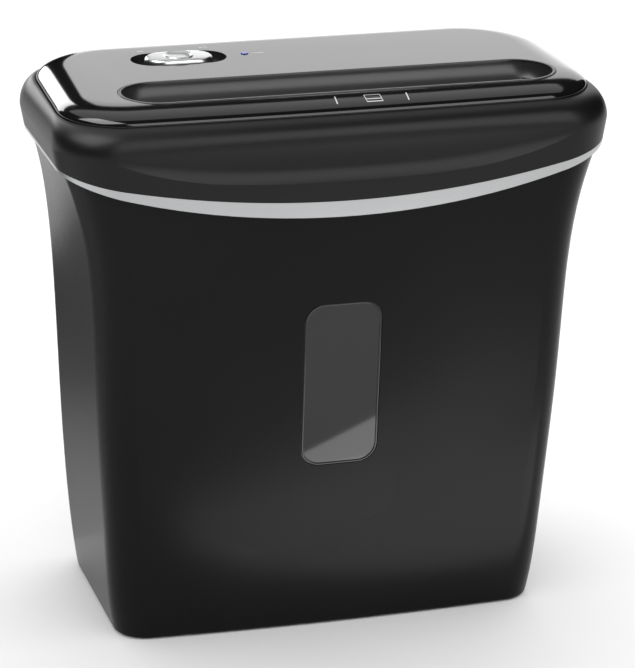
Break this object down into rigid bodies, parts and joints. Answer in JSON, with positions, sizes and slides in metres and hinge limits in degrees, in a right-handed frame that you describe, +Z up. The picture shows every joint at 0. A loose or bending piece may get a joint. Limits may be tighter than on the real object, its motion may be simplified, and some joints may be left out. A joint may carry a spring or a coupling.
{
  "type": "paper shredder",
  "caption": "Cross-cut paper shredder: a cutter head with a feed slot and slide switch lifts off a tapered waste bin with a viewing window.",
  "frame": {"origin": "centre of the bounding box at the bin's base", "axes": "+X to the right seen from the front, -Y towards the front, +Z up"},
  "size_m": [0.3044, 0.164, 0.3013],
  "materials": {
    "body_plastic": "satin black moulded plastic",
    "panel_gloss": "high-gloss black",
    "trim_silver": "satin silver",
    "bright_chrome": "bright chrome",
    "smoked_window": "smoked clear plastic",
    "led_blue": "tinted clear",
    "inner_plastic": "moulded black",
    "cutter_steel": "ground steel",
    "zinc_plate": "zinc plated",
    "bronze": "sintered bronze",
    "gear_nylon": "natural nylon",
    "motor_metal": "grey metal",
    "board_green": "circuit board",
    "grommet_rubber": "black rubber"
  },
  "bodies": {
    "bin": {"bin_shell": "body_plastic", "bin_window": "smoked_window"},
    "head": {"upper_housing": "body_plastic", "trim_band": "trim_silver", "top_panel": "panel_gloss", "led_lens": "led_blue", "slide_switch": "inner_plastic", "front_paper_guide": "inner_plastic", "rear_paper_guide": "inner_plastic", "paper_sensor": "inner_plastic", "drive_side_plate": "zinc_plate", "far_side_plate": "zinc_plate", "tie_rods": "zinc_plate", "shaft_bushes": "bronze", "front_stripper_comb": "inner_plastic", "rear_stripper_comb": "inner_plastic", "gear_pins": "zinc_plate", "gearbox_cover": "inner_plastic", "motor_can": "motor_metal", "motor_end_cap": "inner_plastic", "lower_housing": "inner_plastic", "control_board": "board_green", "interlock_switch": "inner_plastic", "cord_entry": "body_plastic", "cord_gland": "grommet_rubber", "housing_screws": "zinc_plate", "gearbox_screws": "zinc_plate", "motor_screws": "zinc_plate", "board_screws": "zinc_plate"},
    "slider": {"switch_slider": "bright_chrome"},
    "rear_cutter_body": {"rear_cutter": "cutter_steel"},
    "front_cutter_body": {"front_cutter": "cutter_steel"},
    "first_gear_body": {"first_gear": "gear_nylon"},
    "second_gear_body": {"second_gear": "gear_nylon"},
    "rotor": {"motor_rotor": "motor_metal"},
    "plunger": {"interlock_plunger": "gear_nylon"}
  },
  "joints": [
    {"name": "head_lift", "type": "slide", "parent": "bin", "child": "head", "axis": [0, 0, 1], "range_m": [0, 0.2]},
    {"name": "switch_slide", "type": "slide", "parent": "head", "child": "slider", "axis": [1, 0, 0], "range_m": [-0.007, 0.007]},
    {"name": "motor_spin", "type": "hinge", "parent": "head", "child": "rotor", "pos_m": [0, 0.04002, 0.2552], "axis": [1, 0, 0], "continuous": true},
    {"name": "first_gear_spin", "type": "hinge", "parent": "head", "child": "first_gear_body", "pos_m": [0, 0.02388, 0.25661], "axis": [1, 0, 0], "continuous": true},
    {"name": "second_gear_spin", "type": "hinge", "parent": "head", "child": "second_gear_body", "pos_m": [0, 0.00725, 0.26621], "axis": [1, 0, 0], "continuous": true},
    {"name": "rear_cutter_spin", "type": "hinge", "parent": "head", "child": "rear_cutter_body", "pos_m": [0, -0.0153, 0.258], "axis": [1, 0, 0], "continuous": true},
    {"name": "front_cutter_spin", "type": "hinge", "parent": "head", "child": "front_cutter_body", "pos_m": [0, -0.0427, 0.258], "axis": [1, 0, 0], "continuous": true},
    {"name": "interlock_travel", "type": "slide", "parent": "head", "child": "plunger", "axis": [0, 0, 1], "range_m": [-0.003, 0]}
  ],
  "couplings": [
    {"joint": "first_gear_spin", "follows": "motor_spin", "ratio": -0.28571},
    {"joint": "second_gear_spin", "follows": "motor_spin", "ratio": 0.095238},
    {"joint": "rear_cutter_spin", "follows": "motor_spin", "ratio": -0.031746},
    {"joint": "front_cutter_spin", "follows": "motor_spin", "ratio": 0.031746},
    {"joint": "interlock_travel", "follows": "head_lift", "ratio": -0.015}
  ]
}
